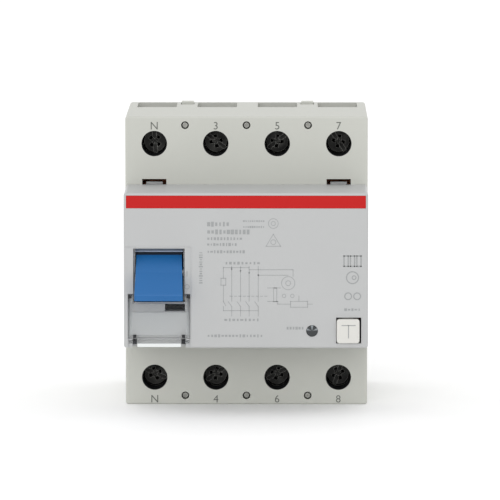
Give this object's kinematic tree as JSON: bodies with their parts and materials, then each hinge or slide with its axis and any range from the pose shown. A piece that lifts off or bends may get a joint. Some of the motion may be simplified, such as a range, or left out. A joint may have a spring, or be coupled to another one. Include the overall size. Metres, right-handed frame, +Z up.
{
  "type": "residual current device",
  "caption": "Rail-mounted residual current device: grey housing with a raised cap, blue toggle, clear label flap, test button, cage terminals and rail latches.",
  "frame": {"origin": "middle of the width, on the rail's centre line, at the face that rests on the rail", "axes": "+X to the right seen from the front, +Y backwards, towards the rail and the panel, +Z up"},
  "size_m": [0.071, 0.081, 0.0856],
  "materials": {
    "housing_plastic": "warm light grey moulded plastic, fine spark-eroded texture",
    "cap_plastic": "light grey moulded plastic, fine spark-eroded texture",
    "stripe_red": "orange-red coloured strip",
    "toggle_blue": "mid blue moulded plastic, satin",
    "button_white": "off-white moulded plastic, satin",
    "clear_plastic": "clear polycarbonate",
    "card": "light grey printed card",
    "lens_smoke": "smoked light lens",
    "flag_plastic": "black plate with a red half",
    "latch_plastic": "grey glass-filled plastic",
    "inner_plastic": "black glass-filled plastic",
    "relay_cover": "ivory plastic cover",
    "copper": "bare copper, rolled",
    "contact_silver": "silver alloy",
    "zinc_steel": "zinc-plated steel",
    "screw_steel": "dark passivated steel",
    "spring_steel": "drawn spring wire and strip",
    "core_iron": "wound nanocrystalline band, dark",
    "winding_lacquer": "lacquered copper wire",
    "wire_insulation": "coloured wire insulation",
    "board_green": "green solder mask",
    "component_black": "black and grey component bodies"
  },
  "bodies": {
    "housing": {"housing_base": "housing_plastic", "housing_cover": "housing_plastic", "housing_pins": "zinc_steel", "front_cap": "cap_plastic", "red_stripe": "stripe_red", "label_card": "card", "status_lens": "lens_smoke", "toggle_axle": "zinc_steel", "toggle_spring": "spring_steel", "mechanism_frame": "zinc_steel", "trip_relay": "relay_cover", "trip_lever_pin": "zinc_steel", "sum_transformer": "core_iron", "transformer_winding": "winding_lacquer", "sense_wires": "wire_insulation", "circuit_board": "board_green", "board_components": "component_black", "test_contact_spring": "spring_steel", "fixed_contact_tips": "contact_silver", "line_bar_1": "copper", "line_bar_2": "copper", "line_bar_3": "copper", "line_bar_4": "copper", "load_bar_1": "copper", "load_bar_2": "copper", "load_bar_3": "copper", "load_bar_4": "copper"},
    "toggle": {"toggle": "toggle_blue", "crank_pin": "zinc_steel"},
    "contact_carrier": {"contact_carrier": "inner_plastic", "drive_rod": "zinc_steel", "contact_springs": "spring_steel", "moving_contact_tips": "contact_silver", "contact_bridge_1": "copper", "contact_bridge_2": "copper", "contact_bridge_3": "copper", "contact_bridge_4": "copper"},
    "position_flag": {"position_flag": "flag_plastic"},
    "label_flap": {"label_flap": "clear_plastic"},
    "test_button": {"test_button": "button_white"},
    "rail_latch_left": {"rail_latch_left": "latch_plastic"},
    "rail_latch_right": {"rail_latch_right": "latch_plastic"},
    "relay_plunger": {"relay_plunger": "spring_steel"},
    "trip_lever": {"trip_lever": "inner_plastic"},
    "terminal_screw_top_1": {"terminal_screw_top_1": "screw_steel"},
    "terminal_cage_top_1": {"terminal_cage_top_1": "zinc_steel"},
    "terminal_screw_top_2": {"terminal_screw_top_2": "screw_steel"},
    "terminal_cage_top_2": {"terminal_cage_top_2": "zinc_steel"},
    "terminal_screw_top_3": {"terminal_screw_top_3": "screw_steel"},
    "terminal_cage_top_3": {"terminal_cage_top_3": "zinc_steel"},
    "terminal_screw_top_4": {"terminal_screw_top_4": "screw_steel"},
    "terminal_cage_top_4": {"terminal_cage_top_4": "zinc_steel"},
    "terminal_screw_bottom_1": {"terminal_screw_bottom_1": "screw_steel"},
    "terminal_cage_bottom_1": {"terminal_cage_bottom_1": "zinc_steel"},
    "terminal_screw_bottom_2": {"terminal_screw_bottom_2": "screw_steel"},
    "terminal_cage_bottom_2": {"terminal_cage_bottom_2": "zinc_steel"},
    "terminal_screw_bottom_3": {"terminal_screw_bottom_3": "screw_steel"},
    "terminal_cage_bottom_3": {"terminal_cage_bottom_3": "zinc_steel"},
    "terminal_screw_bottom_4": {"terminal_screw_bottom_4": "screw_steel"},
    "terminal_cage_bottom_4": {"terminal_cage_bottom_4": "zinc_steel"}
  },
  "joints": [
    {"name": "toggle_turn", "type": "hinge", "parent": "housing", "child": "toggle", "pos_m": [-0.0251, -0.0602, -0.0015], "axis": [-1, 0, 0], "range_deg": [0, 44]},
    {"name": "contacts_close", "type": "slide", "parent": "housing", "child": "contact_carrier", "axis": [0, 1, 0], "range_m": [0, 0.00345]},
    {"name": "flag_slide", "type": "slide", "parent": "housing", "child": "position_flag", "axis": [1, 0, 0], "range_m": [0, 0.007]},
    {"name": "flap_open", "type": "hinge", "parent": "housing", "child": "label_flap", "pos_m": [-0.0251, -0.0676, -0.0208], "axis": [1, 0, 0], "range_deg": [0, 110]},
    {"name": "button_press", "type": "slide", "parent": "housing", "child": "test_button", "axis": [0, 1, 0], "range_m": [0, 0.0015], "stiffness_N_per_m": 800, "springref_m": -0.0005},
    {"name": "latch_pull_left", "type": "slide", "parent": "housing", "child": "rail_latch_left", "axis": [0, 0, 1], "range_m": [0, 0.0032], "stiffness_N_per_m": 2000, "springref_m": -0.0005},
    {"name": "latch_pull_right", "type": "slide", "parent": "housing", "child": "rail_latch_right", "axis": [0, 0, 1], "range_m": [0, 0.0032], "stiffness_N_per_m": 2000, "springref_m": -0.0005},
    {"name": "trip_turn", "type": "hinge", "parent": "housing", "child": "trip_lever", "pos_m": [-0.0128, -0.0344, 0.0179], "axis": [0, 1, 0], "range_deg": [0, 15.2]},
    {"name": "plunger_push", "type": "slide", "parent": "housing", "child": "relay_plunger", "axis": [-1, 0, 0], "range_m": [0, 0.0012]},
    {"name": "screw_turn_top_1", "type": "hinge", "parent": "housing", "child": "terminal_screw_top_1", "pos_m": [-0.027, -0.034, 0.0345], "axis": [0, 1, 0], "range_deg": [0, 4284]},
    {"name": "cage_rise_top_1", "type": "slide", "parent": "housing", "child": "terminal_cage_top_1", "axis": [0, -1, 0], "range_m": [0, 0.0119]},
    {"name": "screw_turn_top_2", "type": "hinge", "parent": "housing", "child": "terminal_screw_top_2", "pos_m": [-0.009, -0.034, 0.0345], "axis": [0, 1, 0], "range_deg": [0, 4284]},
    {"name": "cage_rise_top_2", "type": "slide", "parent": "housing", "child": "terminal_cage_top_2", "axis": [0, -1, 0], "range_m": [0, 0.0119]},
    {"name": "screw_turn_top_3", "type": "hinge", "parent": "housing", "child": "terminal_screw_top_3", "pos_m": [0.009, -0.034, 0.0345], "axis": [0, 1, 0], "range_deg": [0, 4284]},
    {"name": "cage_rise_top_3", "type": "slide", "parent": "housing", "child": "terminal_cage_top_3", "axis": [0, -1, 0], "range_m": [0, 0.0119]},
    {"name": "screw_turn_top_4", "type": "hinge", "parent": "housing", "child": "terminal_screw_top_4", "pos_m": [0.027, -0.034, 0.0345], "axis": [0, 1, 0], "range_deg": [0, 4284]},
    {"name": "cage_rise_top_4", "type": "slide", "parent": "housing", "child": "terminal_cage_top_4", "axis": [0, -1, 0], "range_m": [0, 0.0119]},
    {"name": "screw_turn_bottom_1", "type": "hinge", "parent": "housing", "child": "terminal_screw_bottom_1", "pos_m": [-0.027, -0.034, -0.0345], "axis": [0, 1, 0], "range_deg": [0, 4284]},
    {"name": "cage_rise_bottom_1", "type": "slide", "parent": "housing", "child": "terminal_cage_bottom_1", "axis": [0, -1, 0], "range_m": [0, 0.0119]},
    {"name": "screw_turn_bottom_2", "type": "hinge", "parent": "housing", "child": "terminal_screw_bottom_2", "pos_m": [-0.009, -0.034, -0.0345], "axis": [0, 1, 0], "range_deg": [0, 4284]},
    {"name": "cage_rise_bottom_2", "type": "slide", "parent": "housing", "child": "terminal_cage_bottom_2", "axis": [0, -1, 0], "range_m": [0, 0.0119]},
    {"name": "screw_turn_bottom_3", "type": "hinge", "parent": "housing", "child": "terminal_screw_bottom_3", "pos_m": [0.009, -0.034, -0.0345], "axis": [0, 1, 0], "range_deg": [0, 4284]},
    {"name": "cage_rise_bottom_3", "type": "slide", "parent": "housing", "child": "terminal_cage_bottom_3", "axis": [0, -1, 0], "range_m": [0, 0.0119]},
    {"name": "screw_turn_bottom_4", "type": "hinge", "parent": "housing", "child": "terminal_screw_bottom_4", "pos_m": [0.027, -0.034, -0.0345], "axis": [0, 1, 0], "range_deg": [0, 4284]},
    {"name": "cage_rise_bottom_4", "type": "slide", "parent": "housing", "child": "terminal_cage_bottom_4", "axis": [0, -1, 0], "range_m": [0, 0.0119]}
  ],
  "couplings": [
    {"joint": "toggle_turn", "follows": "contacts_close", "rad_per_m": 222.83},
    {"joint": "flag_slide", "follows": "contacts_close", "ratio": 2.0284},
    {"joint": "trip_turn", "follows": "plunger_push", "rad_per_m": 221},
    {"joint": "screw_turn_top_1", "follows": "cage_rise_top_1", "rad_per_m": 6283.1},
    {"joint": "screw_turn_top_2", "follows": "cage_rise_top_2", "rad_per_m": 6283.1},
    {"joint": "screw_turn_top_3", "follows": "cage_rise_top_3", "rad_per_m": 6283.1},
    {"joint": "screw_turn_top_4", "follows": "cage_rise_top_4", "rad_per_m": 6283.1},
    {"joint": "screw_turn_bottom_1", "follows": "cage_rise_bottom_1", "rad_per_m": 6283.1},
    {"joint": "screw_turn_bottom_2", "follows": "cage_rise_bottom_2", "rad_per_m": 6283.1},
    {"joint": "screw_turn_bottom_3", "follows": "cage_rise_bottom_3", "rad_per_m": 6283.1},
    {"joint": "screw_turn_bottom_4", "follows": "cage_rise_bottom_4", "rad_per_m": 6283.1}
  ]
}
